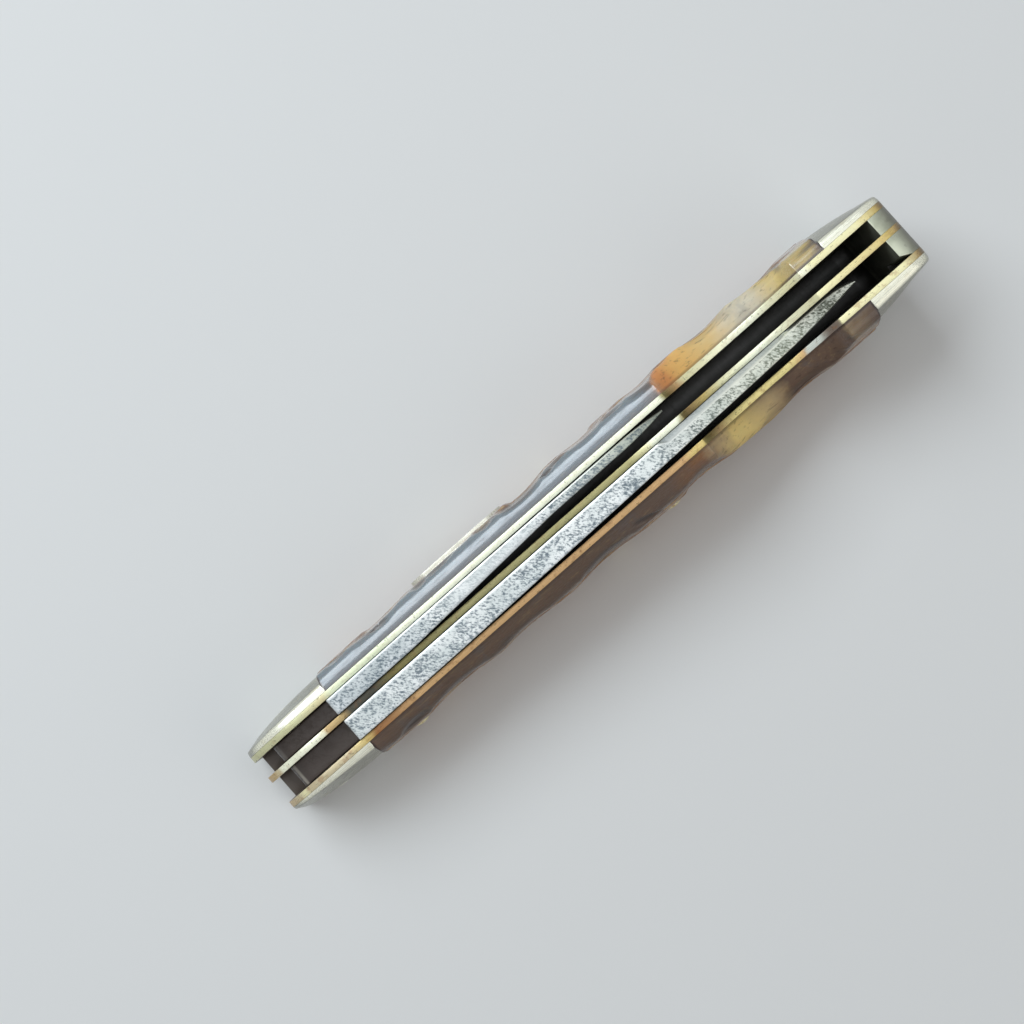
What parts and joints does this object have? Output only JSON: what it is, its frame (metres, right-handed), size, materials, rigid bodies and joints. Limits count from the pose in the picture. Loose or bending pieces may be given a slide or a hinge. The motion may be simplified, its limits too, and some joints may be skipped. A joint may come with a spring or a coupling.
{
  "type": "pocket knife",
  "caption": "Slim folding jack knife, closed, with a clip-point and a pen blade on one pivot, brass liners, end bolsters, jigged scales and an easy-open notch.",
  "frame": {"origin": "middle of the handle's length and of its thickness, on the flat back that the closed knife stands on", "axes": "+X from the pivot end to the butt, +Y towards the mark side with the shield and the pen blade, +Z out of the wells"},
  "size_m": [0.0844, 0.012, 0.0153],
  "materials": {
    "liner_brass": "satin sheet brass, tarnished to copper brown between the blades",
    "bolster_nickel_silver": "worn satin nickel silver",
    "scale_bone": "polished honey and amber jigged bone",
    "blade_steel": "satin carbon steel with fine dark pepper pitting",
    "spring_steel": "satin spring steel",
    "pin_nickel_silver": "peened and ground flush",
    "pin_brass": "peened brass wire",
    "shield_nickel_silver": "polished, plain"
  },
  "bodies": {
    "handle": {"liner_mark": "liner_brass", "liner_center": "liner_brass", "liner_pile": "liner_brass", "bolster_front_mark": "bolster_nickel_silver", "bolster_front_pile": "bolster_nickel_silver", "bolster_rear_mark": "bolster_nickel_silver", "bolster_rear_pile": "bolster_nickel_silver", "scale_mark": "scale_bone", "scale_pile": "scale_bone", "spring_master": "spring_steel", "spring_pen": "spring_steel", "pivot_pin": "pin_nickel_silver", "spring_center_pin": "pin_brass", "butt_pin": "pin_nickel_silver", "scale_pins_mark": "pin_brass", "scale_pins_pile": "pin_brass", "shield": "shield_nickel_silver", "shield_pins": "pin_brass"},
    "master_blade": {"blade_master": "blade_steel"},
    "pen_blade": {"blade_pen": "blade_steel"}
  },
  "joints": [
    {"name": "master_open", "type": "hinge", "parent": "handle", "child": "master_blade", "pos_m": [-0.03635, -0.00135, 0.0054], "axis": [0, -1, 0], "range_deg": [0, 174.5], "deforming": ["spring_master"]},
    {"name": "pen_open", "type": "hinge", "parent": "handle", "child": "pen_blade", "pos_m": [-0.03635, 0.00165, 0.0054], "axis": [0, -1, 0], "range_deg": [0, 174.5], "deforming": ["spring_pen"]}
  ]
}
